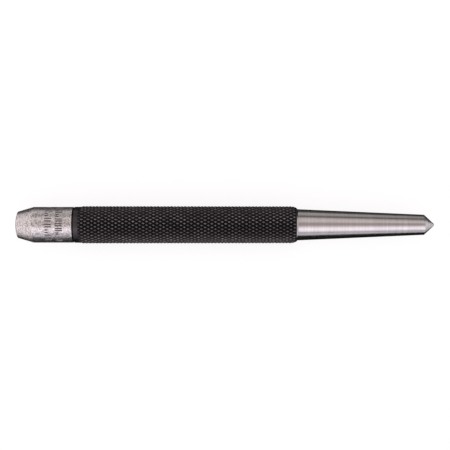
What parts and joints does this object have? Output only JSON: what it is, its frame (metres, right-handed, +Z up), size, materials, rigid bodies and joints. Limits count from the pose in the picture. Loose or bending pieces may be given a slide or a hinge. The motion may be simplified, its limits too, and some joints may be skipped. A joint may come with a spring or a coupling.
{
  "type": "center punch",
  "caption": "Round one-piece center punch: crowned striking head, blackened diamond-knurled grip and a long tapered shank ending in a ground cone point.",
  "frame": {"origin": "bottom centre of the bounding box: under the middle of the punch's length, on the surface that it lies on; the bar's own axis is 5.7 mm above it", "axes": "+X along the bar from the striking face towards the point, +Z up, away from the surface that the punch lies on"},
  "size_m": [0.127, 0.0114, 0.0114],
  "materials": {
    "satin_head_steel": "satin ground bare steel",
    "black_oxide_band": "plain turned steel, black oxide",
    "black_oxide_knurl": "medium diamond knurl, black oxide, crests slightly polished by handling",
    "ground_shank_steel": "fine cylindrical-ground bare steel",
    "ground_point_steel": "ground bare steel cone"
  },
  "bodies": {
    "root": {"striking_head": "satin_head_steel", "plain_collar": "black_oxide_band", "knurled_grip": "black_oxide_knurl", "tapered_shank": "ground_shank_steel", "center_point": "ground_point_steel"}
  },
  "joints": []
}
